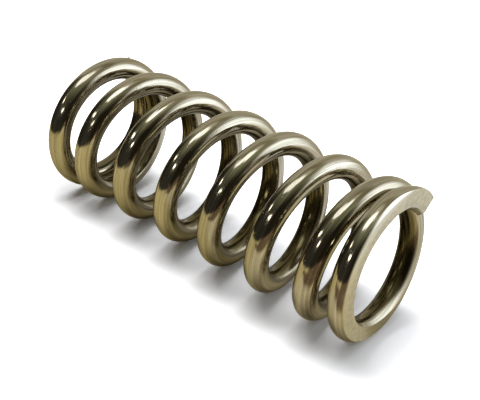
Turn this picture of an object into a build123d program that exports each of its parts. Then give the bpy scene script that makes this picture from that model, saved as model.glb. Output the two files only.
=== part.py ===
from build123d import *
import math
import os

os.makedirs("parts", exist_ok=True)

# A left-hand helical compression spring of round wire, with closed and ground ends.
# It stands on one ground face, its axis on Z, and the bottom wire tip points to -X.

# Driving dimensions, in millimetres and turns
wire_diameter = 5.0
outside_diameter = 33.0
free_length = 82.9
total_turns = 8.04
tip_angle = 180.0

# How far each wire tip is ground past the middle of the wire, as a share of the wire's radius
bottom_tip_grind = 0.2
top_tip_grind = 0.05

# The closed end coils: their pitch in wire diameters per turn, at so many turns from the tip.
# The bottom coil lies flat and even. The top coil kicks up from its tip, lies flat, and opens again.
bottom_pitch_by_turn = [(0.0, 1.1), (0.5, 0.8), (1.0, 1.5)]
top_pitch_by_turn = [
    (0.0, 2.3),
    (0.11, 2.3),
    (0.21, 0.1),
    (0.56, 0.15),
    (0.76, 1.4),
    (0.89, 2.3),
    (1.11, 2.25),
    (1.31, 1.9),
]
bottom_active_turn = 1.5
top_active_turn = 1.8

# The top end coil is a little oval: its radius there, as a share of the coil's, by turns from the tip
top_oval_by_turn = [(0.0, 1.008), (0.2, 1.035), (0.43, 0.978), (0.73, 1.041), (1.15, 1.0)]

# The top ground face is lightly countersunk at 45 degrees, off centre towards the wire's tip
countersink_radius = 12.3
countersink_offset = 0.65
countersink_turn = 0.08

# How finely the wire's centreline is followed
points_per_turn = 28

wire_radius = wire_diameter / 2
coil_radius = outside_diameter / 2 - wire_radius


def pitch_points(active_pitch):
    """The wire's pitch in millimetres per turn, at its corner points from bottom tip to top tip."""
    bottom = [(turn, ratio * wire_diameter) for turn, ratio in bottom_pitch_by_turn]
    top = [(total_turns - turn, ratio * wire_diameter) for turn, ratio in reversed(top_pitch_by_turn)]
    active = [(bottom_active_turn, active_pitch), (total_turns - top_active_turn, active_pitch)]
    return bottom + active + top


def climb(turn, active_pitch):
    """How far the centreline has risen above the bottom tip: the pitch added up, turn by turn."""
    height = 0.0
    points = pitch_points(active_pitch)
    for (start, start_pitch), (end, end_pitch) in zip(points, points[1:]):
        span = min(turn, end) - start
        if span <= 0:
            break
        slope = (end_pitch - start_pitch) / (end - start)
        height += span * (start_pitch + slope * span / 2)
    return height


# The active coils get the pitch that brings the ground spring to its free length.
bottom_tip_height = -bottom_tip_grind * wire_radius
top_tip_height = free_length + top_tip_grind * wire_radius
rise_without_active = climb(total_turns, 0.0)
rise_per_pitch = (climb(total_turns, wire_diameter) - rise_without_active) / wire_diameter
active_pitch = (top_tip_height - bottom_tip_height - rise_without_active) / rise_per_pitch


def oval_share(turns_from_top):
    """The coil's radius as a share of the even coil's, eased from point to point."""
    for (start, start_share), (end, end_share) in zip(top_oval_by_turn, top_oval_by_turn[1:]):
        if turns_from_top <= end:
            part_way = (turns_from_top - start) / (end - start)
            eased = part_way * part_way * (3 - 2 * part_way)
            return start_share + (end_share - start_share) * eased
    return 1.0


def direction(turn):
    """The way out from the axis at a turn. Seen from above, a left-hand coil climbs clockwise."""
    angle = math.radians(tip_angle - 360 * turn)
    return Vector(math.cos(angle), math.sin(angle))


def centreline_point(turn):
    """A point on the wire's centreline."""
    radius = coil_radius * oval_share(total_turns - turn)
    height = bottom_tip_height + climb(turn, active_pitch)
    return direction(turn) * radius + Vector(0, 0, height)


steps = math.ceil(total_turns * points_per_turn)

with BuildPart() as compression_spring:
    # Round wire, coiled along its centreline from the bottom tip to the top tip
    with BuildLine() as centreline:
        Spline(*[centreline_point(total_turns * step / steps) for step in range(steps + 1)])
    with BuildSketch(Plane(origin=centreline.line @ 0, z_dir=centreline.line % 0)):
        Circle(wire_radius)
    sweep(path=centreline.line, is_frenet=True)

    # Both ends ground flat and square to the axis
    split(bisect_by=Plane.XY, keep=Keep.TOP)
    split(bisect_by=Plane.XY.offset(free_length), keep=Keep.BOTTOM)

    # The top face's inner lip dressed back by the countersink
    centre = direction(total_turns - countersink_turn) * countersink_offset
    with Locations(centre + Vector(0, 0, free_length)):
        Cone(
            bottom_radius=countersink_radius - wire_radius,
            top_radius=countersink_radius,
            height=wire_radius,
            align=(Align.CENTER, Align.CENTER, Align.MAX),
            mode=Mode.SUBTRACT,
        )

compression_spring.part.label = "compression_spring"
export_step(compression_spring.part, "parts/compression_spring.step")

box = compression_spring.part.bounding_box()
print("active pitch", round(active_pitch, 3), "volume", round(compression_spring.part.volume, 1))
print("box centre", round(box.center().X, 3), round(box.center().Y, 3), "size", box.size)
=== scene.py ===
"""A left-hand compression spring of polished wire with ground ends, dressed for its picture."""

import math

import bmesh
import bpy
from mathutils import Matrix, Vector


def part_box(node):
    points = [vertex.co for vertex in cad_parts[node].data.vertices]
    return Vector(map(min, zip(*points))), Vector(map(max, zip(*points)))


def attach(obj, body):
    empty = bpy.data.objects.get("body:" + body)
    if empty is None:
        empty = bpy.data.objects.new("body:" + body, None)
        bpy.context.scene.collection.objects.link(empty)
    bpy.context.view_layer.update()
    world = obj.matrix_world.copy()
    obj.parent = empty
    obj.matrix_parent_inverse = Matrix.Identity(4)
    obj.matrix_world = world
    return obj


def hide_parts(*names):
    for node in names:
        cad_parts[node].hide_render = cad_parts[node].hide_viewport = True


bl_info = {
    "name": "Compression Spring",
    "version": (1, 0, 0),
    "blender": (4, 5, 0),
    "location": "3D Viewport > Sidebar > Spring",
    "description": "Coils a polished compression spring with ground ends on a white table",
    "category": "Add Mesh",
}

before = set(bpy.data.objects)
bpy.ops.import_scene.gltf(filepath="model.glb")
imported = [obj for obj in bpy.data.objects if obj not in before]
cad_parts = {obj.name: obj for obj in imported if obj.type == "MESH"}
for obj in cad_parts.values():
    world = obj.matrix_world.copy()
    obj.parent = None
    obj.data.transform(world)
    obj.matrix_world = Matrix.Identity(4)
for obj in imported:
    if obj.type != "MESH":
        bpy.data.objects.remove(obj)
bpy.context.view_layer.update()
CAD_NODE = "compression_spring"
CAD_LOW, CAD_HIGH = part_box(CAD_NODE)
BODY = "root"
MM = 0.001

# The wire's pitch near each tip, in wire diameters per turn, at so many turns from the tip
BOTTOM_PITCH_BY_TURN = [(0.0, 1.1), (0.5, 0.8), (1.0, 1.5)]
TOP_PITCH_BY_TURN = [
    (0.0, 2.3),
    (0.11, 2.3),
    (0.21, 0.1),
    (0.56, 0.15),
    (0.76, 1.4),
    (0.89, 2.3),
    (1.11, 2.25),
    (1.31, 1.9),
]

# The top end coil's radius, as a share of the even coil's, at so many turns from the tip
TOP_OVAL_BY_TURN = [(0.0, 1.008), (0.2, 1.035), (0.43, 0.978), (0.73, 1.041), (1.15, 1.0)]

# The mesh: rings along the wire, the segments of half a ring from the ground flat's middle and of
# the softened edge round a cut end, and how close two points are that become one
RINGS_PER_TURN = 196
FLAT_SEGMENTS = 4
EDGE_SEGMENTS = 5
ROUND_SEGMENTS = 19
HALF_RING = FLAT_SEGMENTS + EDGE_SEGMENTS + ROUND_SEGMENTS
BEVEL_SEGMENTS = 4
WELD = 0.0015 * MM

# Shares of the wire's radius: how deep a cut shows as ground, and how far clear of the ground plane
# the wire is where its rings' points have spread evenly again
GROUND_DEPTH = 0.02
EVEN_AGAIN = 0.4

# Where the flats' outer margin is rubbed round, burnished and painted lighter as a highlight, along
# the wire from its tip, and how thick the wire has to be over its middle for the rounding. Each
# pair is where it begins to grow and where it is full.
MARGIN_BEGINS = (7 * MM, 16 * MM)
MARGIN_ENDS = (50 * MM, 22 * MM)
MARGIN_THICKNESS = (0.7 * MM, 1.5 * MM)

TREE_INPUTS = {
    "Centreline": "NodeSocketGeometry",
    "Wire Radius": "NodeSocketFloat",
    "Free Length": "NodeSocketFloat",
    "Ground Edge": "NodeSocketFloat",
    "Ground Margin": "NodeSocketFloat",
    "Countersink Radius": "NodeSocketFloat",
    "Countersink Centre": "NodeSocketVector",
}


class SpringSizes(bpy.types.PropertyGroup):
    """The sizes of the spring, in metres and turns."""

    wire_diameter: bpy.props.FloatProperty(
        name="Wire Diameter",
        description="Diameter of the round wire",
        default=5.0 * MM,
        unit="LENGTH",
    )
    outside_diameter: bpy.props.FloatProperty(
        name="Outside Diameter",
        description="Diameter of the coil over the wire",
        default=33.0 * MM,
        unit="LENGTH",
    )
    free_length: bpy.props.FloatProperty(
        name="Free Length",
        description="Length between the two ground faces",
        default=round(CAD_HIGH.z - CAD_LOW.z, 6),
        unit="LENGTH",
    )
    total_turns: bpy.props.FloatProperty(
        name="Total Turns",
        description="Turns of wire from tip to tip",
        default=8.04,
    )
    tip_angle: bpy.props.FloatProperty(
        name="Tip Angle",
        description="Direction of the bottom wire tip about the axis",
        default=math.radians(180.0),
        subtype="ANGLE",
    )
    bottom_tip_grind: bpy.props.FloatProperty(
        name="Bottom Tip Grind",
        description="Share of the wire's radius by which the bottom tip is ground past its middle",
        default=0.2,
    )
    top_tip_grind: bpy.props.FloatProperty(
        name="Top Tip Grind",
        description="Share of the wire's radius by which the top tip is ground past its middle",
        default=0.05,
    )
    bottom_active_turn: bpy.props.FloatProperty(
        name="Bottom Active Turn",
        description="Turns from the bottom tip at which the full pitch is reached",
        default=1.5,
    )
    top_active_turn: bpy.props.FloatProperty(
        name="Top Active Turn",
        description="Turns from the top tip at which the full pitch is reached",
        default=1.8,
    )
    countersink_radius: bpy.props.FloatProperty(
        name="Countersink Radius",
        description="Radius of the 45 degree countersink in the top ground face",
        default=12.3 * MM,
        unit="LENGTH",
    )
    countersink_offset: bpy.props.FloatProperty(
        name="Countersink Offset",
        description="How far the countersink stands off centre",
        default=0.65 * MM,
        unit="LENGTH",
    )
    countersink_turn: bpy.props.FloatProperty(
        name="Countersink Turn",
        description="Turns from the top tip towards which the countersink stands off",
        default=0.08,
    )
    ground_edge: bpy.props.FloatProperty(
        name="Ground Edge",
        description="Radius of the softened edge round the ground flats",
        default=0.14 * MM,
        unit="LENGTH",
    )
    ground_margin: bpy.props.FloatProperty(
        name="Ground Margin",
        description="How much rounder the flats' outer edge is rubbed a way past the wire's tip",
        default=0.9 * MM,
        unit="LENGTH",
    )
    tip_bevel: bpy.props.FloatProperty(
        name="Tip Bevel",
        description="Radius of the softened edge round the cut ends of the wire",
        default=0.1 * MM,
        unit="LENGTH",
    )


class SpringFinish(bpy.types.PropertyGroup):
    """The wire's finish, with painted shade inside the coil and a painted highlight along the
    flats' margin.
    """

    metal: bpy.props.FloatVectorProperty(
        name="Metal",
        description="Colour of the polished steel",
        default=(0.64, 0.575, 0.475),
        size=3,
        subtype="COLOR",
    )
    olive_metal: bpy.props.FloatVectorProperty(
        name="Olive Metal",
        description="The colour it turns to in faint blotches",
        default=(0.555, 0.515, 0.405),
        size=3,
        subtype="COLOR",
    )
    dull_metal: bpy.props.FloatVectorProperty(
        name="Dull Metal",
        description="The colour of the fine duller lines along it",
        default=(0.37, 0.335, 0.26),
        size=3,
        subtype="COLOR",
    )
    # Painted shade: the dark colour of the steel inside the coil, which also colours the dark seams
    # and pits
    inner_shade_and_dark_marks: bpy.props.FloatVectorProperty(
        name="Inner Metal",
        description="Colour of the steel inside the coil, which the polishing didn't reach",
        default=(0.13, 0.105, 0.05),
        size=3,
        subtype="COLOR",
    )
    # Painted highlight: the lighter colour along the ground flats' outer margin
    margin_highlight_metal: bpy.props.FloatVectorProperty(
        name="Margin Metal",
        description="Colour of the ground flats' burnished outer margin",
        default=(0.85, 0.82, 0.72),
        size=3,
        subtype="COLOR",
    )
    edge_tint: bpy.props.FloatVectorProperty(
        name="Edge Tint",
        description="How much of the light the polished steel mirrors where it turns away",
        default=(0.8, 0.77, 0.72),
        size=3,
        subtype="COLOR",
    )
    ground_metal: bpy.props.FloatVectorProperty(
        name="Ground Metal",
        description="Colour of the satin ground flats",
        default=(0.73, 0.67, 0.54),
        size=3,
        subtype="COLOR",
    )
    polish: bpy.props.FloatProperty(
        name="Polished Roughness",
        description="Roughness of the drawn and polished wire",
        default=0.07,
        subtype="FACTOR",
    )
    inner_roughness: bpy.props.FloatProperty(
        name="Inner Roughness",
        description="How much rougher the wire is inside the coil",
        default=0.1,
        subtype="FACTOR",
    )
    ground_roughness: bpy.props.FloatProperty(
        name="Ground Roughness",
        description="Roughness of the ground flats",
        default=0.55,
        subtype="FACTOR",
    )
    draw_lines: bpy.props.FloatProperty(
        name="Draw Lines",
        description="Depth of the fine lines that the drawing die left along the wire",
        default=0.045 * MM,
        precision=6,
        unit="LENGTH",
    )
    waviness: bpy.props.FloatProperty(
        name="Waviness",
        description="Depth of the slow unevenness of the polish",
        default=0.09 * MM,
        precision=6,
        unit="LENGTH",
    )
    pits: bpy.props.FloatProperty(
        name="Pits",
        description="Depth of the small pits scattered over the polish",
        default=0.012 * MM,
        precision=6,
        unit="LENGTH",
    )


class SpringStage(bpy.types.PropertyGroup):
    """The table that the spring lies on, and the studio that its metal mirrors."""

    table_drop: bpy.props.FloatProperty(
        name="Table Drop",
        description="Distance of the table below the spring's axis",
        default=16.93 * MM,
        unit="LENGTH",
    )
    table_size: bpy.props.FloatProperty(
        name="Table Size",
        description="Width and depth of the white table",
        default=6.0,
        unit="LENGTH",
    )
    table_lift: bpy.props.FloatProperty(
        name="Table Lift",
        description="How much brighter than lit paper the table shows to the camera",
        default=0.25,
    )
    studio_radius: bpy.props.FloatProperty(
        name="Studio Radius",
        description="Distance of the studio walls that the metal mirrors",
        default=0.4,
        unit="LENGTH",
    )
    key_watts: bpy.props.FloatProperty(
        name="Soft Box",
        description="Power of the soft box overhead",
        default=1.3,
        unit="POWER",
    )
    window_watts: bpy.props.FloatProperty(
        name="Window",
        description="Power of the window light from the right",
        default=0.8,
        unit="POWER",
    )
    ambient: bpy.props.FloatProperty(
        name="Ambient",
        description="Strength of the even light from all round",
        default=0.1,
    )


def link_or_set(tree, value, socket):
    """Connects a field or socket to an input, or types a plain value into it."""
    if isinstance(value, Field):
        value = value.socket
    if isinstance(value, bpy.types.NodeSocket):
        tree.links.new(value, socket)
    else:
        socket.default_value = value


class Field:
    """A number that nodes work out, so that sums in a tree read as plain arithmetic."""

    def __init__(self, tree, socket):
        self.tree = tree
        self.socket = socket

    def math(self, operation, *others):
        node = self.tree.nodes.new("ShaderNodeMath")
        node.operation = operation
        for value, socket in zip((self, *others), node.inputs):
            link_or_set(self.tree, value, socket)
        return Field(self.tree, node.outputs[0])

    def __add__(self, other):
        return self.math("ADD", other)

    def __sub__(self, other):
        return self.math("SUBTRACT", other)

    def __rsub__(self, other):
        return Field(self.tree, number(self.tree, other)).math("SUBTRACT", self)

    def __mul__(self, other):
        return self.math("MULTIPLY", other)

    def __truediv__(self, other):
        return self.math("DIVIDE", other)

    __radd__ = __add__
    __rmul__ = __mul__

    def clamped(self):
        """The same number, held between 0 and 1."""
        return self.math("MAXIMUM", 0.0).math("MINIMUM", 1.0)

    def blend(self, low, high):
        """From low to high as this number goes from 0 to 1."""
        return low + (high - low) * self


def number(tree, value):
    """A plain number as a socket."""
    node = tree.nodes.new("ShaderNodeValue")
    node.outputs[0].default_value = value
    return node.outputs[0]


def add_node(tree, kind, inputs=(), **settings):
    """Adds a node, sets its properties and fills its inputs, each given by place or by name."""
    node = tree.nodes.new(kind)
    for name, value in settings.items():
        setattr(node, name, value)
    for key, value in dict(inputs).items():
        link_or_set(tree, value, node.inputs[key])
    return node


def vector_math(tree, operation, *values):
    """One step of vector arithmetic, as a socket."""
    node = add_node(tree, "ShaderNodeVectorMath", enumerate(values), operation=operation)
    return node.outputs[1 if operation in ("DOT_PRODUCT", "LENGTH") else 0]


def scaled(tree, vector, factor):
    """A vector times a number."""
    inputs = {0: vector, "Scale": factor}
    return add_node(tree, "ShaderNodeVectorMath", inputs, operation="SCALE").outputs[0]


def parts_of(tree, vector):
    """A vector's three parts."""
    parts = add_node(tree, "ShaderNodeSeparateXYZ", {0: vector}).outputs
    return [Field(tree, part) for part in parts]


def reach_along(tree, vector, axis):
    """How far a vector reaches along an axis."""
    return Field(tree, vector_math(tree, "DOT_PRODUCT", vector, tuple(axis)))


def distance(across, above):
    """How far off a place is, from its two parts."""
    return (across * across + above * above).math("SQRT")


def eased(tree, value, start, end):
    """From 0 to 1, smoothly, as a number goes from start to end."""
    node = add_node(
        tree,
        "ShaderNodeMapRange",
        {"Value": value, "From Min": start, "From Max": end},
        interpolation_type="SMOOTHSTEP",
    )
    return Field(tree, node.outputs["Result"])


def mixed(tree, share, low, high):
    """A colour from low to high as the share goes from 0 to 1."""
    node = add_node(tree, "ShaderNodeMix", data_type="RGBA")
    link_or_set(tree, share, node.inputs["Factor"])
    for socket, colour in ((node.inputs[6], low), (node.inputs[7], high)):
        if isinstance(colour, bpy.types.NodeSocket):
            tree.links.new(colour, socket)
        else:
            socket.default_value = (*colour, 1.0)
    return node.outputs[2]


def new_material(name):
    """A material with an empty tree, its output node and the tree."""
    material = bpy.data.materials.new(name)
    material.use_nodes = True
    tree = material.node_tree
    tree.nodes.clear()
    return material, tree, tree.nodes.new("ShaderNodeOutputMaterial")


def pitch_points(sizes, active_pitch):
    """The wire's pitch in metres per turn, at its corner points from bottom tip to top tip."""
    wire = sizes.wire_diameter
    turns = sizes.total_turns
    bottom = [(turn, ratio * wire) for turn, ratio in BOTTOM_PITCH_BY_TURN]
    top = [(turns - turn, ratio * wire) for turn, ratio in reversed(TOP_PITCH_BY_TURN)]
    active = [
        (sizes.bottom_active_turn, active_pitch),
        (turns - sizes.top_active_turn, active_pitch),
    ]
    return bottom + active + top


def climb(sizes, turn, active_pitch):
    """How far the centreline has risen above the bottom tip: the pitch added up, turn by turn."""
    height = 0.0
    points = pitch_points(sizes, active_pitch)
    for (start, start_pitch), (end, end_pitch) in zip(points, points[1:]):
        span = min(turn, end) - start
        if span <= 0:
            break
        slope = (end_pitch - start_pitch) / (end - start)
        height += span * (start_pitch + slope * span / 2)
    return height


def oval_share(turns_from_top):
    """The coil's radius as a share of the even coil's, eased from point to point."""
    for (start, start_share), (end, end_share) in zip(TOP_OVAL_BY_TURN, TOP_OVAL_BY_TURN[1:]):
        if turns_from_top <= end:
            part_way = (turns_from_top - start) / (end - start)
            smooth = part_way * part_way * (3 - 2 * part_way)
            return start_share + (end_share - start_share) * smooth
    return 1.0


def direction(sizes, turn):
    """The way out from the axis at a turn. Seen from above, a left-hand coil climbs clockwise."""
    angle = sizes.tip_angle - 2 * math.pi * turn
    return Vector((math.cos(angle), math.sin(angle), 0.0))


def centreline(sizes):
    """The wire's centreline: (place, how far a ring there is drawn in) from tip to tip."""
    wire_radius = sizes.wire_diameter / 2
    coil_radius = sizes.outside_diameter / 2 - wire_radius
    turns = sizes.total_turns
    low = -sizes.bottom_tip_grind * wire_radius
    high = sizes.free_length + sizes.top_tip_grind * wire_radius
    without_active = climb(sizes, turns, 0.0)
    per_active_pitch = climb(sizes, turns, 1.0) - without_active
    active_pitch = (high - low - without_active) / per_active_pitch

    # The cut ends are rounded over by rings that draw in as they near the end
    bevel = sizes.tip_bevel
    bevel_turns = bevel / (2 * math.pi * coil_radius)
    bottom_end = []
    for step in range(BEVEL_SEGMENTS):
        angle = math.pi / 2 * step / BEVEL_SEGMENTS
        turn = bevel_turns * (1 - math.cos(angle))
        bottom_end.append((turn, bevel * (1 - math.sin(angle))))
    top_end = [(turns - turn, inset) for turn, inset in reversed(bottom_end)]
    steps = round(turns * RINGS_PER_TURN)
    length = turns - 2 * bevel_turns
    between = [(bevel_turns + length * step / steps, 0.0) for step in range(steps + 1)]

    points = []
    for turn, inset in bottom_end + between + top_end:
        place = direction(sizes, turn) * coil_radius * oval_share(turns - turn)
        place.z = low + climb(sizes, turn, active_pitch)
        points.append((place, inset))
    return points


def ground_section(around, radius, plane, side, edge):
    """A ring of the wire, cut off flat at a plane and softened at the cut's edges.

    Around is the angle round the wire from straight up, plane is how far the ground plane lies
    from the wire's middle, and side is 1 where that plane is above and -1 where it is below.
    Returns the place across and up the section, and 1 on the ground flat.
    """
    from_flat = (around.math("COSINE") * side).math("ARCCOSINE") / math.pi
    flat_end = FLAT_SEGMENTS / HALF_RING
    edge_end = (FLAT_SEGMENTS + EDGE_SEGMENTS) / HALF_RING
    along_flat = (from_flat / flat_end).clamped()
    along_edge = ((from_flat - flat_end) / (edge_end - flat_end)).clamped()
    along_round = ((from_flat - edge_end) / (1 - edge_end)).clamped()

    # The softened edge is an arc that touches both the plane and the round wire
    edge_height = plane.math("MINIMUM", radius) - edge
    inner = radius - edge
    edge_place = (inner * inner - edge_height * edge_height).math("MAXIMUM", 0.0).math("SQRT")
    edge_angle = edge_place.math("ARCTAN2", edge_height)
    angle = along_edge * edge_angle + along_round * (math.pi - edge_angle)

    # Past the flat the ring's points spread evenly again
    ungrinding = ((plane / radius - 1.0) / EVEN_AGAIN).clamped()
    spread = ungrinding.blend(angle, from_flat * math.pi)
    is_ground = plane.math("LESS_THAN", radius)
    past_edge = from_flat.math("GREATER_THAN", edge_end - 0.5 / HALF_RING)
    on_round = past_edge.math("MAXIMUM", 1.0 - is_ground)
    flat_spacing = 1.0 - (1.0 - along_flat) * (1.0 - along_flat)
    across = on_round.blend(
        flat_spacing * edge_place + edge * spread.math("SINE"), radius * spread.math("SINE")
    )
    up = on_round.blend(edge_height + edge * spread.math("COSINE"), radius * spread.math("COSINE"))
    outward = around.math("SINE").math("SIGN")
    depth = ((radius - plane) / (radius * GROUND_DEPTH)).clamped()
    return across * outward, up * side, (1.0 - along_edge * along_edge) * depth


def countersunk(tree, given, place):
    """A place with the part inside the 45 degree countersink pushed back onto its cone.

    Returns the place, and how far into the cone's cut it was.
    """
    from_centre = vector_math(tree, "SUBTRACT", place, given["Countersink Centre"])
    flat_way = vector_math(tree, "MULTIPLY", from_centre, (1.0, 1.0, 0.0))
    depth = parts_of(tree, from_centre)[2]
    reach = Field(tree, vector_math(tree, "LENGTH", flat_way))
    cut_away = (depth + given["Countersink Radius"] - reach).math("MAXIMUM", 0.0)
    outwards = vector_math(tree, "NORMALIZE", flat_way)
    way_back = vector_math(tree, "SUBTRACT", outwards, (0.0, 0.0, 1.0))
    return vector_math(tree, "ADD", place, scaled(tree, way_back, cut_away / 2)), cut_away


def from_nearer_tip(run, half_length):
    """How far along the wire a place is from the nearer of the two tips."""
    return half_length - (run - half_length).math("ABSOLUTE")


def rubbed_share(tree, from_tip):
    """From 0 to 1 where the flats' outer margin is rubbed round, burnished and painted lighter as a
    highlight.
    """
    return eased(tree, from_tip, *MARGIN_BEGINS) * eased(tree, from_tip, *MARGIN_ENDS)


def carried(tree, geometry, values):
    """A geometry that carries values to what is made of it, and the sockets to read them from."""
    node = tree.nodes.new("GeometryNodeCaptureAttribute")
    tree.links.new(geometry, node.inputs[0])
    sockets = {}
    for name, (kind, value) in values.items():
        node.capture_items.new(kind, name)
        tree.links.new(value, node.inputs[name])
        sockets[name] = node.outputs[name]
    return node.outputs[0], sockets


def stored(tree, geometry, name, kind, value):
    """A geometry that keeps a value under a name for its material."""
    inputs = {"Geometry": geometry, "Name": name, "Value": value}
    node = add_node(tree, "GeometryNodeStoreNamedAttribute", inputs, data_type=kind)
    return node.outputs[0]


def ringed_tube(tree, line):
    """A tube along a line, the angle round it from straight up, and what its rings carry."""
    new_node = tree.nodes.new
    path = add_node(tree, "GeometryNodeMeshToCurve", {"Mesh": line})
    values = {
        "centre": ("VECTOR", new_node("GeometryNodeInputPosition").outputs[0]),
        "tangent": ("VECTOR", new_node("GeometryNodeInputTangent").outputs[0]),
        "along": ("FLOAT", new_node("GeometryNodeSplineParameter").outputs["Length"]),
        "length": ("FLOAT", new_node("GeometryNodeSplineLength").outputs["Length"]),
    }
    path, ring = carried(tree, path.outputs[0], values)

    sides = 2 * HALF_RING
    circle = add_node(tree, "GeometryNodeCurvePrimitiveCircle", {"Resolution": sides})
    values = {"place": ("INT", new_node("GeometryNodeInputIndex").outputs[0])}
    profile, point = carried(tree, circle.outputs[0], values)
    around = (sides - Field(tree, point["place"])) * (2 * math.pi / sides)
    inputs = {"Curve": path, "Profile Curve": profile, "Fill Caps": True}
    return add_node(tree, "GeometryNodeCurveToMesh", inputs).outputs[0], around, ring


def wire_tree(material):
    """The tree that runs a round section along the centreline and grinds both ends flat."""
    tree = bpy.data.node_groups.new("Ground coil", "GeometryNodeTree")
    for name, kind in TREE_INPUTS.items():
        tree.interface.new_socket(name=name, in_out="INPUT", socket_type=kind)
    tree.interface.new_socket(name="Spring", in_out="OUTPUT", socket_type="NodeSocketGeometry")
    given = tree.nodes.new("NodeGroupInput").outputs
    wire_radius = Field(tree, given["Wire Radius"])
    half_length = Field(tree, given["Free Length"]) / 2
    tube, around, ring = ringed_tube(tree, given["Centreline"])

    # The ways out from the axis and up along it that lie square to the wire
    outwards = vector_math(tree, "CROSS_PRODUCT", (0.0, 0.0, 1.0), ring["tangent"])
    outwards = vector_math(tree, "NORMALIZE", outwards)
    upwards = vector_math(tree, "CROSS_PRODUCT", ring["tangent"], outwards)
    upwards = vector_math(tree, "NORMALIZE", upwards)

    # How far the nearer ground plane lies from the wire's middle, measured square to the wire
    off_middle = parts_of(tree, ring["centre"])[2] - half_length
    side = off_middle.math("SIGN")
    inset = add_node(tree, "GeometryNodeInputNamedAttribute", {"Name": "inset"})
    inset = Field(tree, inset.outputs["Attribute"])
    rise = parts_of(tree, upwards)[2]
    plane = (half_length - off_middle.math("ABSOLUTE")) / rise - inset

    # The flats' outer edge is rubbed rounder a way past the tip, where the wire is thick enough
    from_tip = from_nearer_tip(Field(tree, ring["along"]), Field(tree, ring["length"]) / 2)
    rubbed = rubbed_share(tree, from_tip) * eased(tree, plane, *MARGIN_THICKNESS)
    rubbed = rubbed * around.math("SINE").math("GREATER_THAN", 0.0)
    edge = Field(tree, given["Ground Edge"]) + rubbed * given["Ground Margin"]

    # Each ring is placed again from its centre, outwards and up, so that the cut stays exact
    across, up, ground = ground_section(around, wire_radius - inset, plane, side, edge)
    place = vector_math(tree, "ADD", scaled(tree, outwards, across), scaled(tree, upwards, up))
    place = vector_math(tree, "ADD", ring["centre"], place)
    place, dressed_back = countersunk(tree, given, place)
    ground = ground * (1.0 - (dressed_back / (wire_radius * GROUND_DEPTH)).clamped())
    placed = add_node(tree, "GeometryNodeSetPosition", {0: tube, "Position": place})

    # What the finish follows: the place across, up and along the wire, and the ground flats
    wire_place = add_node(tree, "ShaderNodeCombineXYZ", {0: across, 1: up, 2: ring["along"]})
    wire_place = wire_place.outputs[0]
    spring = stored(tree, placed.outputs[0], "wire_place", "FLOAT_VECTOR", wire_place)
    spring = stored(tree, spring, "ground", "FLOAT", ground)
    for kind, inputs in (
        ("GeometryNodeMergeByDistance", {"Distance": WELD}),
        ("GeometryNodeSetShadeSmooth", {}),
        ("GeometryNodeRealizeInstances", {}),
        ("GeometryNodeSetMaterial", {"Material": material}),
    ):
        spring = add_node(tree, kind, {"Geometry": spring, **inputs}).outputs[0]
    tree.links.new(spring, tree.nodes.new("NodeGroupOutput").inputs[0])
    return tree


def set_modifier_input(modifier, name, value):
    """Sets one named input of a Geometry Nodes modifier."""
    for item in modifier.node_group.interface.items_tree:
        if item.item_type == "SOCKET" and item.in_out == "INPUT" and item.name == name:
            modifier[item.identifier] = value
            return
    raise RuntimeError(f"the tree has no input named {name}")


def plain_mesh(source, name):
    """A plain mesh object of what the source's modifiers make, with the source removed."""
    graph = bpy.context.evaluated_depsgraph_get()
    mesh = bpy.data.meshes.new_from_object(source.evaluated_get(graph))
    mesh.name = name
    bpy.data.objects.remove(source)
    made = bpy.data.objects.new(name, mesh)
    bpy.context.scene.collection.objects.link(made)
    return made


# The finish's patterns: how wide they are and, for those drawn out along the wire, the scale of
# the run along it
LINES = (0.5 * MM, 0.015)
STREAKS = (1.3 * MM, 0.01)
WAVES = (2.2 * MM, 0.3)
TINT = (2.4 * MM, 0.25)
GRAIN_WIDTH = 0.22 * MM
MOTTLE_WIDTH = 0.9 * MM
PIT_SPACING = 0.8 * MM

# Where each pattern begins to show and where it is full
PIT_RIM = (0.2, 0.05)
TINT_CONTRAST = (0.42, 0.58)
DULL_LINES = (0.56, 0.44)
DULL_STREAKS = (0.55, 0.45)
SEAM_LINES = (0.62, 0.72)
SEAM_STREAKS = (0.5, 0.6)
MOTTLE_CONTRAST = (0.35, 0.65)

# How much each pattern changes the colour, the relief and the roughness
DULL_LINE_SHARE = 0.6
DULL_STREAK_SHARE = 0.3
SEAM_SHARE = 0.85
PIT_SHARE = 0.5
MOTTLE_SHADES = (0.86, 1.04)
STREAK_DEPTH = 1.5
GRAIN_DEPTH = 0.012 * MM
LINE_ROUGHNESS = 0.04
GRAIN_ROUGHNESS = 0.06
BURNISH = 0.3

# How far in from the flats' outer edge the burnished margin, painted lighter as a highlight,
# begins, and how much further out it is full
MARGIN_WIDTH = 2.0 * MM
MARGIN_RISE = 1.7 * MM

# Where the flats run out, along the wire from its tip
RUN_OUT = (50 * MM, 54 * MM)
RUN_OUT_RAGGEDNESS = 7 * MM
RUN_OUT_SLANT = 1.5
RUN_OUT_SHARE = 0.6

# Where the painted shade and the roughness of the wire's inner side begin and are full, across the
# wire from its middle, and how far in that moves near the tips
INNER_SIDE = (-0.9 * MM, -2.3 * MM)
INNER_RAGGEDNESS = 0.8 * MM
INNER_NEAR_TIP = (72 * MM, 52 * MM)
INNER_TIP_SHIFT = 0.5 * MM


def drawn_out(tree, wire_place, pattern, detail=2.0):
    """Noise that runs along the wire. A pattern is its width and how its run is scaled down."""
    width, scale = pattern
    return noise(tree, vector_math(tree, "MULTIPLY", wire_place, (1.0, 1.0, scale)), width, detail)


def shaded(colour, share):
    """A colour made darker or lighter."""
    return tuple(channel * share for channel in colour)


def noise(tree, vector, size, detail=2.0):
    """Soft noise round 0.5 whose blotches are about so many metres across."""
    inputs = {"Vector": vector, "Scale": 1.0 / size, "Detail": detail}
    return Field(tree, add_node(tree, "ShaderNodeTexNoise", inputs).outputs["Fac"])


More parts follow.
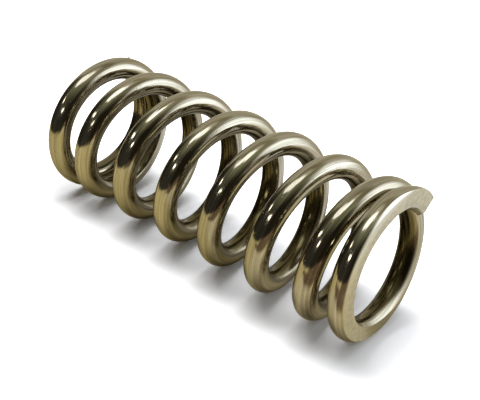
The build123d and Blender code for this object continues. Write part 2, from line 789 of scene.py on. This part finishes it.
def polished_colour(tree, finish, wire_place, inner, lines, streaks, pits):
    """Two warm tones of steel with duller lines, dark seams and pits, and painted shade inside the
    coil.
    """
    tint = drawn_out(tree, wire_place, TINT, detail=3.0)
    colour = mixed(tree, eased(tree, tint, *TINT_CONTRAST), finish.olive_metal, finish.metal)
    dull = eased(tree, lines, *DULL_LINES) * DULL_LINE_SHARE
    dull = dull + eased(tree, streaks, *DULL_STREAKS) * DULL_STREAK_SHARE
    colour = mixed(tree, dull, colour, finish.dull_metal)
    # Painted shade: the inner side of the wire, inside the coil, is painted dark
    colour = mixed(tree, inner, colour, finish.inner_shade_and_dark_marks)
    seams = eased(tree, lines, *SEAM_LINES) * eased(tree, streaks, *SEAM_STREAKS)
    colour = mixed(tree, seams * SEAM_SHARE, colour, finish.inner_shade_and_dark_marks)
    return mixed(tree, pits * PIT_SHARE, colour, finish.inner_shade_and_dark_marks)


def ground_colour(tree, finish, wire_place, margin):
    """Mottled satin steel, with a painted highlight along the burnished margin."""
    mottle = noise(tree, wire_place, MOTTLE_WIDTH, detail=5.0)
    dark, light = (shaded(finish.ground_metal, share) for share in MOTTLE_SHADES)
    colour = mixed(tree, eased(tree, mottle, *MOTTLE_CONTRAST), dark, light)
    # Painted highlight along the rubbed outer margin
    return mixed(tree, margin, colour, finish.margin_highlight_metal)


def polished_wire(finish, wire_radius, wire_length):
    """Drawn and polished steel wire with satin ground flats."""
    material, tree, output = new_material("polished_wire")
    wire_place = add_node(tree, "ShaderNodeAttribute", attribute_name="wire_place")
    wire_place = wire_place.outputs["Vector"]
    ground = add_node(tree, "ShaderNodeAttribute", attribute_name="ground")
    ground = Field(tree, ground.outputs["Fac"])
    across, up, run = parts_of(tree, wire_place)
    from_tip = from_nearer_tip(run, wire_length / 2)

    # Lines and streaks left by the drawing die, slow waves in the polish, fine grain, and pits
    lines = drawn_out(tree, wire_place, LINES)
    streaks = drawn_out(tree, wire_place, STREAKS)
    waves = drawn_out(tree, wire_place, WAVES)
    grain = noise(tree, wire_place, GRAIN_WIDTH, detail=3.0)
    inputs = {"Vector": wire_place, "Scale": 1.0 / PIT_SPACING}
    cells = add_node(tree, "ShaderNodeTexVoronoi", inputs)
    pits = eased(tree, cells.outputs["Distance"], *PIT_RIM)

    # The flats' outer margin is burnished and painted lighter as a highlight where it is rubbed
    # round
    flat_width = (wire_radius * wire_radius - up * up).math("MAXIMUM", 0.0).math("SQRT")
    margin = ((across - flat_width + MARGIN_WIDTH) / MARGIN_RISE).clamped()
    margin = margin * rubbed_share(tree, from_tip)

    # The flats run out raggedly and aslant into polished wire
    ragged = from_tip + (grain - 0.5) * RUN_OUT_RAGGEDNESS - across * RUN_OUT_SLANT
    ground = ground * (1.0 - eased(tree, ragged, *RUN_OUT) * RUN_OUT_SHARE)

    # Painted shade: the wire's inner side, inside the coil, is painted dark and is rougher there;
    # the change comes raggedly round the wire, and further in near the tips
    shifted = across + (lines - 0.5) * INNER_RAGGEDNESS
    shifted = shifted + eased(tree, from_tip, *INNER_NEAR_TIP) * INNER_TIP_SHIFT
    inner = eased(tree, shifted, *INNER_SIDE)

    relief = (lines + streaks * STREAK_DEPTH) * finish.draw_lines
    relief = relief + waves * finish.waviness - pits * finish.pits
    height = relief * (1.0 - ground) + grain * GRAIN_DEPTH * ground
    bump = add_node(tree, "ShaderNodeBump", {"Height": height, "Distance": 1.0})
    polished = polished_colour(tree, finish, wire_place, inner, lines, streaks, pits)
    satin = ground_colour(tree, finish, wire_place, margin)
    rough = finish.polish + lines * LINE_ROUGHNESS + inner * finish.inner_roughness
    satin_rough = finish.ground_roughness + grain * GRAIN_ROUGHNESS - margin * BURNISH
    shader = add_node(
        tree,
        "ShaderNodeBsdfPrincipled",
        {
            "Metallic": 1.0,
            "Specular Tint": (*finish.edge_tint, 1.0),
            "Base Color": mixed(tree, ground, polished, satin),
            "Roughness": ground.blend(rough, satin_rough),
            "Normal": bump.outputs["Normal"],
        },
    )
    tree.links.new(shader.outputs[0], output.inputs["Surface"])
    return material


class SPRING_OT_coil(bpy.types.Operator):
    """Coil the wire, grind both ends and give it its finish"""

    bl_idname = "spring.coil"
    bl_label = "Spring Coil"

    def execute(self, context):
        sizes = context.scene.spring_sizes
        places, insets = zip(*centreline(sizes))
        path = bpy.data.meshes.new("centreline")
        path.from_pydata(places, [(step, step + 1) for step in range(len(places) - 1)], [])
        path.attributes.new("inset", "FLOAT", "POINT").data.foreach_set("value", insets)
        source = bpy.data.objects.new("centreline", path)
        context.scene.collection.objects.link(source)

        wire_radius = sizes.wire_diameter / 2
        length = sum((end - start).length for start, end in zip(places, places[1:]))
        finish = polished_wire(context.scene.spring_finish, wire_radius, length)
        modifier = source.modifiers.new("Ground coil", "NODES")
        modifier.node_group = wire_tree(finish)
        toward = direction(sizes, sizes.total_turns - sizes.countersink_turn)
        centre = toward * sizes.countersink_offset
        centre.z = sizes.free_length
        inputs = {
            "Wire Radius": wire_radius,
            "Free Length": sizes.free_length,
            "Ground Edge": sizes.ground_edge,
            "Ground Margin": sizes.ground_margin,
            "Countersink Radius": sizes.countersink_radius,
            "Countersink Centre": centre,
        }
        for name, value in inputs.items():
            set_modifier_input(modifier, name, value)

        spring = plain_mesh(source, "spring_coil")
        if len(spring.data.polygons) < RINGS_PER_TURN:
            raise RuntimeError("the coil came out empty")
        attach(spring, BODY)
        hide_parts(CAD_NODE)
        return {"FINISHED"}


# The camera, with its lens and sensor in millimetres
CAMERA_PLACE = Vector((-7.226, -157.327, 141.845)) * MM
CAMERA_RIGHT = Vector((-0.43656, 0.4861, 0.75705))
CAMERA_UP = Vector((-0.89839, -0.19057, -0.39571))
CAMERA_LENS = 64.905
CAMERA_SENSOR = 36.0
CAMERA_CLIP = (0.005, 10.0)

# The level frame in which the spring lies: up from the table, ahead of the camera and to its right
# along the table, along the coils towards the near end, and beside them away from the camera
LYING_UP = Vector((-0.83888, -0.54432, 0.0)).normalized()
AHEAD = CAMERA_UP.cross(CAMERA_RIGHT)
AHEAD = (AHEAD - LYING_UP * AHEAD.dot(LYING_UP)).normalized()
RIGHT = AHEAD.cross(LYING_UP)
ENDWAYS = Vector((0.0, 0.0, 1.0))
BESIDE = LYING_UP.cross(ENDWAYS)

# The light that the metal mirrors, from the studio's walls
SOFT_BOX = (2.26, 2.32, 2.38)
OLIVE_CEILING = (0.381, 0.393, 0.25)
BLACK_WALL = (0.0226, 0.019, 0.0119)
LEFT_WALL = (0.0428, 0.0405, 0.0333)
KHAKI_WALL = (0.547, 0.524, 0.416)
KHAKI_BELOW = (0.714, 0.69, 0.583)
KHAKI_ABOVE = (0.321, 0.292, 0.19)
WINDOW = (2.12, 2.32, 2.52)
SPOT = (6.54, 6.31, 5.47)

# The light that it mirrors from the table: a tan mat, its dim front, and the window's side, painted
# pale as the window lights it
WHITE_PAPER = (0.87, 0.88, 0.91)
TAN_MAT = (0.69, 0.601, 0.309)
PALE_MAT = (0.75, 0.678, 0.452)
BROWN_FRONT = (0.202, 0.143, 0.0892)
SHADED_MAT = (0.333, 0.292, 0.155)
SHADED_BAND = (0.321, 0.303, 0.238)
# Painted light: the pale colour where the window lights the mat
WINDOW_LIT_MAT = (0.833, 0.881, 0.928)

# Where the walls change colour, in degrees to the right of ahead and over the horizon, as seen
# from the spring. Here and below, a pair for an edge is where a colour begins and where it is full.
LEFT_WALL_MIDDLE = -125
LEFT_WALL_REACH = (60, 30)
CEILING_BEGINS = (22, 75)
KHAKI_LIGHTENS = (28, -8)
KHAKI_SHADE = (52, 70)
KHAKI_SHADE_SLANT = 0.12
KHAKI_TOP = (70, 83)
KHAKI_LEFT = (-58, -43)
KHAKI_LEFT_HEIGHT = 30
KHAKI_LEFT_SLANT = 0.25
KHAKI_RIGHT = (145, 100)
HORIZON = (-12.0, -16.5)

# The window and the two small lamps, in the same degrees, with edges as shares of their reach
WINDOW_PLACE = (84, 22)
WINDOW_REACH = (31.5, 26)
WINDOW_LEAN = 0.15
WINDOW_EDGE = (1.45, 0.35)
SPOT_PLACES = ((-102.5, 28.9), (-142.5, 20.5))
SPOT_REACH = (7.5, 3.7)
SPOT_EDGE = (1.2, 0.6)
GLOW_EDGE = (4.2, 0.6)
GLOW_SHARE = 0.012

# The soft box on the ceiling, right and ahead of the point overhead as shares of its height
SOFT_BOX_PLACE = (-0.245, -0.195)
SOFT_BOX_REACH = (0.385, 0.23)
SOFT_BOX_EDGE = (1.5, 0.6)
SQUARENESS = 2.6
LOWEST_CEILING = 0.05

# Where the mat beyond the table changes colour, in the same degrees as the walls
BEHIND_LEFT = (-145, -168)
BEHIND_RIGHT = (88, 132)
FRONT_HEIGHTS = (-50, -25)
PALE_BEGINS = (30, 60)
TAN_AGAIN = (62, 92)
TAN_AGAIN_SHARE = 0.6

# Where the mat and the table change colour, in millimetres beside the spring's middle and endways
PALE_MIDDLE = 30
PALE_REACH = (24, 10)
PALE_FAR_END = (-46, -66)
PALE_FAR_SHARE = 0.7
FRONT_EDGE = (63, 76)
FRONT_SLANT = 0.97
SHADE_MIDDLE = -6
SHADE_REACH = (34, 16)
SHADE_EDGE = (-11, -4)
BAND_REACH = (46, 40)
BAND_EDGE = (-1, 6)
WINDOW_SIDE_EDGE = (26, 54)
WINDOW_SIDE_BULGES = (((38, 50), 26), ((-6, -32), 16), ((2, 20), -8))
TAN_END = (50, 70)
TAN_SIDE = (0, 15)
TAN_SHARE = 0.5
BROWN_END = (64, 90)
BROWN_SHARE = 0.6

# How far off the mat begins to fade and where it is gone, in millimetres, and its size and its
# lift off the white table
MAT_FADES = (62, 80)
MAT_SIZE = 2.0
MAT_LIFT = 0.03 * MM

# The white table keeps the shadow this close beside the spring and endways, and is white this far
# beyond
SHADOW_BESIDE = 7 * MM
SHADOW_ENDWAYS = 42 * MM
WHITENING_REACH = 20 * MM

# The lamps: how far they are from the spring, the way to each, its size and its colour
LAMP_DISTANCE = 0.35
OVERHEAD = {
    "way": LYING_UP - RIGHT * 0.15 + AHEAD * 0.12,
    "size": (0.94 * LAMP_DISTANCE, 0.56 * LAMP_DISTANCE),
    "colour": (1.0, 1.0, 1.0),
}
SIDEWAYS = {
    "way": RIGHT * 0.93 + AHEAD * 0.03 + LYING_UP * 0.37,
    "size": (0.4, 0.35),
    "colour": (0.96, 0.98, 1.0),
}


def from_middle(tree, middle):
    """A place on the stage as it lies from the spring's middle."""
    place = tree.nodes.new("ShaderNodeTexCoord").outputs["Object"]
    return vector_math(tree, "SUBTRACT", place, tuple(middle))


def seen_rays(tree):
    """1 for a camera ray, and 1 for a camera, glossy or transmission ray."""
    path = tree.nodes.new("ShaderNodeLightPath").outputs
    camera = Field(tree, path["Is Camera Ray"])
    seen = camera.math("MAXIMUM", path["Is Glossy Ray"])
    return camera, seen.math("MAXIMUM", path["Is Transmission Ray"])


def wall_colour(tree, azimuth, height):
    """Black walls that lighten towards the ceiling, and a khaki wall from ahead to the right."""
    left_wall = eased(tree, (azimuth - LEFT_WALL_MIDDLE).math("ABSOLUTE"), *LEFT_WALL_REACH)
    dark = mixed(tree, left_wall, BLACK_WALL, LEFT_WALL)
    dark = mixed(tree, eased(tree, height, *CEILING_BEGINS), dark, OLIVE_CEILING)
    khaki = mixed(tree, eased(tree, height, *KHAKI_LIGHTENS), KHAKI_WALL, KHAKI_BELOW)
    slanting = height + azimuth * KHAKI_SHADE_SLANT
    khaki = mixed(tree, eased(tree, slanting, *KHAKI_SHADE), khaki, KHAKI_ABOVE)
    khaki = mixed(tree, eased(tree, height, *KHAKI_TOP), khaki, KHAKI_BELOW)
    slanting = azimuth + (height - KHAKI_LEFT_HEIGHT) * KHAKI_LEFT_SLANT
    share = eased(tree, slanting, *KHAKI_LEFT) * eased(tree, azimuth, *KHAKI_RIGHT)
    return mixed(tree, share, dark, khaki)


def with_window(tree, colour, azimuth, height):
    """The walls' colour with the window added."""
    across = (azimuth - height * WINDOW_LEAN - WINDOW_PLACE[0]) / WINDOW_REACH[0]
    above = (height - WINDOW_PLACE[1]) / WINDOW_REACH[1]
    share = eased(tree, distance(across, above), *WINDOW_EDGE)
    return mixed(tree, share, colour, WINDOW)


def with_soft_box(tree, colour, right, ahead, up):
    """The walls' colour with the soft box added, an oblong with round corners on the ceiling."""
    over = up.math("MAXIMUM", LOWEST_CEILING)
    across = (right / over - SOFT_BOX_PLACE[0]) / SOFT_BOX_REACH[0]
    above = (ahead / over - SOFT_BOX_PLACE[1]) / SOFT_BOX_REACH[1]
    across, above = (side.math("ABSOLUTE").math("POWER", SQUARENESS) for side in (across, above))
    share = eased(tree, across + above, *SOFT_BOX_EDGE)
    return mixed(tree, share * up.math("GREATER_THAN", LOWEST_CEILING), colour, SOFT_BOX)


def with_spots(tree, colour, azimuth, height):
    """The walls' colour with two small lamps added, in their glow."""
    for spot_azimuth, spot_height in SPOT_PLACES:
        across = (azimuth - spot_azimuth) / SPOT_REACH[0]
        above = (height - spot_height) / SPOT_REACH[1]
        reach = distance(across, above)
        colour = mixed(tree, eased(tree, reach, *GLOW_EDGE) * GLOW_SHARE, colour, SPOT)
        colour = mixed(tree, eased(tree, reach, *SPOT_EDGE), colour, SPOT)
    return colour


def mat_beyond(tree, azimuth, height):
    """The mat running on below the horizon: tan, brown behind the camera, pale by the window."""
    behind = eased(tree, azimuth, *BEHIND_LEFT).math("MAXIMUM", eased(tree, azimuth, *BEHIND_RIGHT))
    front = behind * eased(tree, height, *FRONT_HEIGHTS)
    colour = mixed(tree, front, TAN_MAT, BROWN_FRONT)
    share = eased(tree, azimuth, *PALE_BEGINS) * (1.0 - front)
    colour = mixed(tree, share, colour, WINDOW_LIT_MAT)
    share = eased(tree, azimuth, *TAN_AGAIN) * (1.0 - front) * TAN_AGAIN_SHARE
    return mixed(tree, share, colour, TAN_MAT)


def studio_walls(middle):
    """Walls that give off the light the metal mirrors, coloured by how they lie from the middle."""
    material, tree, output = new_material("studio_walls")
    way = vector_math(tree, "NORMALIZE", from_middle(tree, middle))
    right, ahead, up = (reach_along(tree, way, axis) for axis in (RIGHT, AHEAD, LYING_UP))
    azimuth = right.math("ARCTAN2", ahead) * math.degrees(1)
    height = up.math("ARCSINE") * math.degrees(1)
    colour = wall_colour(tree, azimuth, height)
    colour = with_window(tree, colour, azimuth, height)
    colour = with_soft_box(tree, colour, right, ahead, up)
    colour = with_spots(tree, colour, azimuth, height)
    mat = mat_beyond(tree, azimuth, height)
    colour = mixed(tree, eased(tree, height, *HORIZON), colour, mat)
    light = add_node(tree, "ShaderNodeEmission", {"Color": colour})
    tree.links.new(light.outputs[0], output.inputs["Surface"])
    material.cycles.emission_sampling = "NONE"
    return material


def mirrored_table(middle):
    """The mat and table as the metal mirrors them."""
    material, tree, output = new_material("mirrored_table")
    place = from_middle(tree, middle)
    beside, endways = (reach_along(tree, place, axis) * (1 / MM) for axis in (BESIDE, ENDWAYS))
    pale = eased(tree, (endways - PALE_MIDDLE).math("ABSOLUTE"), *PALE_REACH)
    pale = pale + eased(tree, endways, *PALE_FAR_END) * PALE_FAR_SHARE
    colour = mixed(tree, pale, TAN_MAT, PALE_MAT)
    front = eased(tree, endways * FRONT_SLANT - beside, *FRONT_EDGE)
    colour = mixed(tree, front, colour, BROWN_FRONT)

    # The spring's shade, in two bands along it
    under = eased(tree, (endways - SHADE_MIDDLE).math("ABSOLUTE"), *SHADE_REACH)
    colour = mixed(tree, eased(tree, beside, *SHADE_EDGE) * under, colour, SHADED_MAT)
    under = eased(tree, endways.math("ABSOLUTE"), *BAND_REACH)
    colour = mixed(tree, eased(tree, beside, *BAND_EDGE) * under, colour, SHADED_BAND)

    # The window's side, painted pale as the window lights it, which bulges towards the spring, and
    # the near end's tan and brown
    nearer = sum(eased(tree, endways, *edge) * bulge for edge, bulge in WINDOW_SIDE_BULGES)
    colour = mixed(tree, eased(tree, beside + nearer, *WINDOW_SIDE_EDGE), colour, WINDOW_LIT_MAT)
    tan = eased(tree, endways, *TAN_END) * eased(tree, beside, *TAN_SIDE)
    colour = mixed(tree, tan * TAN_SHARE, colour, TAN_MAT)
    colour = mixed(tree, eased(tree, endways, *BROWN_END) * BROWN_SHARE, colour, BROWN_FRONT)

    cloth = add_node(tree, "ShaderNodeBsdfDiffuse", {"Color": colour})
    clear = tree.nodes.new("ShaderNodeBsdfTransparent")
    gone = eased(tree, distance(beside, endways), *MAT_FADES)
    inputs = {0: gone, 1: cloth.outputs[0], 2: clear.outputs[0]}
    faded = add_node(tree, "ShaderNodeMixShader", inputs)
    tree.links.new(faded.outputs[0], output.inputs["Surface"])
    return material


def white_table(stage, middle):
    """A white table that shows white away from the spring and keeps its shadow."""
    material, tree, output = new_material("white_table")
    place = from_middle(tree, middle)
    beside = reach_along(tree, place, BESIDE).math("ABSOLUTE") - SHADOW_BESIDE
    beyond = reach_along(tree, place, ENDWAYS).math("ABSOLUTE") - SHADOW_ENDWAYS
    beside, beyond = (reach.math("MAXIMUM", 0.0) for reach in (beside, beyond))
    whitening = eased(tree, distance(beside, beyond), 0.0, WHITENING_REACH)
    paper = add_node(tree, "ShaderNodeBsdfDiffuse", {"Color": (*WHITE_PAPER, 1.0)})
    camera, seen = seen_rays(tree)
    inputs = {"Color": (1, 1, 1, 1), "Strength": seen * whitening}
    glow = add_node(tree, "ShaderNodeEmission", inputs)
    inputs = {0: camera * stage.table_lift, 2: paper.outputs[0]}
    lifted = add_node(tree, "ShaderNodeMixShader", inputs)
    both = add_node(tree, "ShaderNodeAddShader", {0: paper.outputs[0], 1: lifted.outputs[0]})
    both = add_node(tree, "ShaderNodeAddShader", {0: both.outputs[0], 1: glow.outputs[0]})
    clear = tree.nodes.new("ShaderNodeBsdfTransparent")
    underside = tree.nodes.new("ShaderNodeNewGeometry").outputs["Backfacing"]
    inputs = {0: underside, 1: both.outputs[0], 2: clear.outputs[0]}
    shown = add_node(tree, "ShaderNodeMixShader", inputs)
    tree.links.new(shown.outputs[0], output.inputs["Surface"])
    return material


def level_sheet(name, middle, size, material):
    """A square sheet on the level of the table."""
    corners = ((-1, -1), (1, -1), (1, 1), (-1, 1))
    points = [middle + (RIGHT * x + AHEAD * y) * (size / 2) for x, y in corners]
    mesh = bpy.data.meshes.new(name)
    mesh.from_pydata(points, [], [(0, 1, 2, 3)])
    return stage_piece(name, mesh, material)


def stage_piece(name, mesh, material):
    """Puts a mesh on the stage in its material."""
    mesh.materials.append(material)
    piece = bpy.data.objects.new(name, mesh)
    bpy.context.scene.collection.objects.link(piece)
    return piece


def only_mirrored(piece):
    """Leaves a stage piece to be seen in the metal alone."""
    piece.visible_camera = False
    piece.visible_diffuse = False
    piece.visible_transmission = False
    piece.visible_volume_scatter = False
    piece.visible_shadow = False


def soft_lamp(name, middle, watts, way, size, colour):
    """An area lamp that the metal doesn't mirror, because the studio walls show its light."""
    data = bpy.data.lights.new(name, "AREA")
    data.shape = "RECTANGLE"
    data.size, data.size_y = size
    data.energy = watts
    data.color = colour
    lamp = bpy.data.objects.new(name, data)
    bpy.context.scene.collection.objects.link(lamp)
    place = middle + way * LAMP_DISTANCE
    back = (place - middle).normalized()
    side = AHEAD.cross(back).normalized()
    turn = Matrix((side, back.cross(side), back)).transposed()
    lamp.matrix_world = Matrix.Translation(place) @ turn.to_4x4()
    lamp.visible_glossy = False
    lamp.visible_camera = False


def place_camera(scene):
    """Puts the camera where the picture is taken from."""
    data = bpy.data.cameras.new("camera")
    data.lens = CAMERA_LENS
    data.sensor_width = CAMERA_SENSOR
    data.clip_start, data.clip_end = CAMERA_CLIP
    camera = bpy.data.objects.new("camera", data)
    scene.collection.objects.link(camera)
    turn = Matrix((CAMERA_RIGHT, CAMERA_UP, CAMERA_RIGHT.cross(CAMERA_UP))).transposed()
    camera.matrix_world = Matrix.Translation(CAMERA_PLACE) @ turn.to_4x4()
    scene.camera = camera


def studio_shell(middle, radius):
    """A sphere round the stage that faces inwards."""
    walls = bpy.data.meshes.new("studio_walls")
    shape = bmesh.new()
    bmesh.ops.create_icosphere(shape, subdivisions=4, radius=radius)
    bmesh.ops.reverse_faces(shape, faces=shape.faces)
    bmesh.ops.translate(shape, verts=shape.verts, vec=middle)
    shape.to_mesh(walls)
    shape.free()
    return walls


def white_world(scene, ambient):
    """A world that is seen as white and lights the stage evenly from all round."""
    scene.world = bpy.data.worlds.new("world")
    scene.world.use_nodes = True
    tree = scene.world.node_tree
    seen = seen_rays(tree)[1]
    background = tree.nodes["Background"].inputs
    background["Color"].default_value = (1, 1, 1, 1)
    link_or_set(tree, seen.blend(ambient, 1.0), background["Strength"])


class SPRING_OT_stage(bpy.types.Operator):
    """Set up the table, the studio, the lamps and the camera"""

    bl_idname = "spring.stage"
    bl_label = "Stage"

    def execute(self, context):
        scene = context.scene
        stage = scene.spring_stage
        place_camera(scene)
        middle = Vector((0.0, 0.0, (CAD_LOW.z + CAD_HIGH.z) / 2))
        below = middle - LYING_UP * stage.table_drop
        table = level_sheet("white_table", below, stage.table_size, white_table(stage, middle))
        table.visible_glossy = False
        mat = below + LYING_UP * MAT_LIFT
        only_mirrored(level_sheet("mirrored_table", mat, MAT_SIZE, mirrored_table(middle)))
        shell = studio_shell(middle, stage.studio_radius)
        only_mirrored(stage_piece("studio_walls", shell, studio_walls(middle)))
        lamps = (("soft_box", OVERHEAD, stage.key_watts), ("window", SIDEWAYS, stage.window_watts))
        for name, lamp, watts in lamps:
            soft_lamp(name, middle, watts, **lamp)
        white_world(scene, stage.ambient)
        scene.view_settings.view_transform = "Standard"
        return {"FINISHED"}


class SPRING_PT_panel(bpy.types.Panel):
    """The spring's sizes and the steps that make it"""

    bl_idname = "SPRING_PT_panel"
    bl_label = "Compression Spring"
    bl_space_type = "VIEW_3D"
    bl_region_type = "UI"
    bl_category = "Spring"

    def draw(self, context):
        scene = context.scene
        for group in (scene.spring_sizes, scene.spring_finish, scene.spring_stage):
            box = self.layout.box()
            for name in type(group).__annotations__:
                box.prop(group, name)
        for operator in OPERATORS:
            self.layout.operator(operator.bl_idname)


OPERATORS = (SPRING_OT_coil, SPRING_OT_stage)
GROUPS = {
    "spring_sizes": SpringSizes,
    "spring_finish": SpringFinish,
    "spring_stage": SpringStage,
}
CLASSES = (*GROUPS.values(), *OPERATORS, SPRING_PT_panel)


def register():
    for cls in CLASSES:
        bpy.utils.register_class(cls)
    for name, group in GROUPS.items():
        setattr(bpy.types.Scene, name, bpy.props.PointerProperty(type=group))


def unregister():
    for name in GROUPS:
        delattr(bpy.types.Scene, name)
    for cls in reversed(CLASSES):
        bpy.utils.unregister_class(cls)


def main():
    register()
    bpy.ops.spring.coil()
    bpy.ops.spring.stage()


if __name__ == "__main__":
    main()
